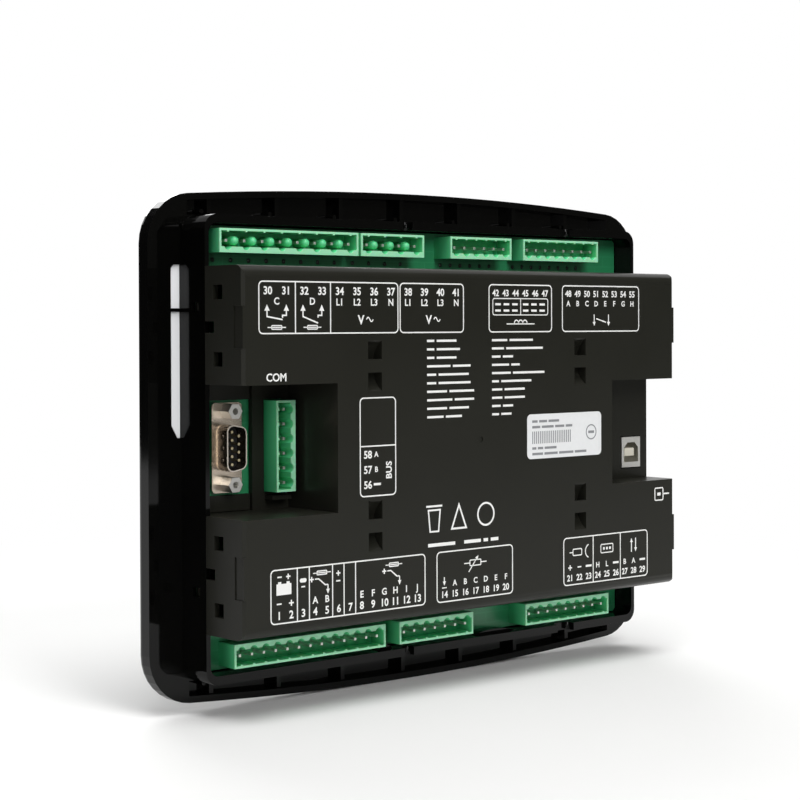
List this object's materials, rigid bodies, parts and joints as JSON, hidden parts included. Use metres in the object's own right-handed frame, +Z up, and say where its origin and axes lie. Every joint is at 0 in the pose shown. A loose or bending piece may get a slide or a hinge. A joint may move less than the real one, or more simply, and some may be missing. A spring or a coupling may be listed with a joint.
{
  "type": "genset controller",
  "caption": "Panel-mounted generator controller with a bowed black fascia, keypad and display in front and green terminal headers around a black cover behind.",
  "frame": {"origin": "middle of the panel cut-out, on the plane where the fascia's rim meets the panel", "axes": "+Y out of the rear, away from the person at the keys; +Z up; +X to the right as that person sees it"},
  "size_m": [0.24, 0.0422, 0.181],
  "materials": {
    "fascia_black": "gloss moulded black",
    "film_grey": "fine texture film",
    "clear_acrylic": "polished clear",
    "lcd_glass": "polished",
    "card_white": "smooth card",
    "silicone_dark": "matt",
    "silicone_grey": "matt",
    "silicone_red": "matt",
    "silicone_green": "matt",
    "lamp_red": "polished",
    "board_green": "solder resist",
    "plated_steel": "zinc plated",
    "tin_plate": "tin plated",
    "gold_plate": "plated",
    "moulded_black": "moulded",
    "moulded_white": "moulded",
    "can_aluminium": "sleeved can",
    "header_green": "moulded satin",
    "cover_charcoal": "satin moulded",
    "label_white": "coated label"
  },
  "bodies": {
    "case": {"front_fascia": "fascia_black", "front_film": "film_grey", "display_window": "clear_acrylic", "lcd_module": "lcd_glass", "label_window": "clear_acrylic", "insert_card": "card_white", "keypad_mat": "silicone_dark", "lamp_lenses": "lamp_red", "display_board": "board_green", "board_spacers": "plated_steel", "board_screws": "plated_steel", "board_link": "moulded_black", "main_board": "board_green", "header_pins": "tin_plate", "dsub_shell": "tin_plate", "dsub_insulator": "moulded_black", "dsub_pins": "gold_plate", "jack_screws": "plated_steel", "usb_shell": "tin_plate", "usb_insulator": "moulded_white", "relays": "moulded_black", "capacitors": "can_aluminium", "current_transformers": "moulded_black", "processor": "moulded_black", "rear_cover": "cover_charcoal", "stuck_label": "label_white", "header_volts": "header_green", "header_mains": "header_green", "header_currents": "header_green", "header_inputs": "header_green", "header_outputs": "header_green", "header_senders": "header_green", "header_bus": "header_green", "header_serial": "header_green"},
    "key_up": {"key_up": "silicone_grey"},
    "key_down": {"key_down": "silicone_grey"},
    "key_left": {"key_left": "silicone_grey"},
    "key_right": {"key_right": "silicone_grey"},
    "key_accept": {"key_accept": "silicone_grey"},
    "key_mains": {"key_mains": "silicone_grey"},
    "key_generator": {"key_generator": "silicone_grey"},
    "key_stop": {"key_stop": "silicone_red"},
    "key_manual": {"key_manual": "silicone_grey"},
    "key_test": {"key_test": "silicone_grey"},
    "key_auto": {"key_auto": "silicone_grey"},
    "key_mute": {"key_mute": "silicone_grey"},
    "key_start": {"key_start": "silicone_green"}
  },
  "joints": [
    {"name": "key_up_press", "type": "slide", "parent": "case", "child": "key_up", "axis": [0, 1, 0], "range_m": [0, 0.0008], "stiffness_N_per_m": 1500},
    {"name": "key_down_press", "type": "slide", "parent": "case", "child": "key_down", "axis": [0, 1, 0], "range_m": [0, 0.0008], "stiffness_N_per_m": 1500},
    {"name": "key_left_press", "type": "slide", "parent": "case", "child": "key_left", "axis": [0, 1, 0], "range_m": [0, 0.0008], "stiffness_N_per_m": 1500},
    {"name": "key_right_press", "type": "slide", "parent": "case", "child": "key_right", "axis": [0, 1, 0], "range_m": [0, 0.0008], "stiffness_N_per_m": 1500},
    {"name": "key_accept_press", "type": "slide", "parent": "case", "child": "key_accept", "axis": [0, 1, 0], "range_m": [0, 0.0008], "stiffness_N_per_m": 1500},
    {"name": "key_mains_press", "type": "slide", "parent": "case", "child": "key_mains", "axis": [0, 1, 0], "range_m": [0, 0.0008], "stiffness_N_per_m": 1500},
    {"name": "key_generator_press", "type": "slide", "parent": "case", "child": "key_generator", "axis": [0, 1, 0], "range_m": [0, 0.0008], "stiffness_N_per_m": 1500},
    {"name": "key_stop_press", "type": "slide", "parent": "case", "child": "key_stop", "axis": [0, 1, 0], "range_m": [0, 0.0008], "stiffness_N_per_m": 1500},
    {"name": "key_manual_press", "type": "slide", "parent": "case", "child": "key_manual", "axis": [0, 1, 0], "range_m": [0, 0.0008], "stiffness_N_per_m": 1500},
    {"name": "key_test_press", "type": "slide", "parent": "case", "child": "key_test", "axis": [0, 1, 0], "range_m": [0, 0.0008], "stiffness_N_per_m": 1500},
    {"name": "key_auto_press", "type": "slide", "parent": "case", "child": "key_auto", "axis": [0, 1, 0], "range_m": [0, 0.0008], "stiffness_N_per_m": 1500},
    {"name": "key_mute_press", "type": "slide", "parent": "case", "child": "key_mute", "axis": [0, 1, 0], "range_m": [0, 0.0008], "stiffness_N_per_m": 1500},
    {"name": "key_start_press", "type": "slide", "parent": "case", "child": "key_start", "axis": [0, 1, 0], "range_m": [0, 0.0008], "stiffness_N_per_m": 1500}
  ]
}
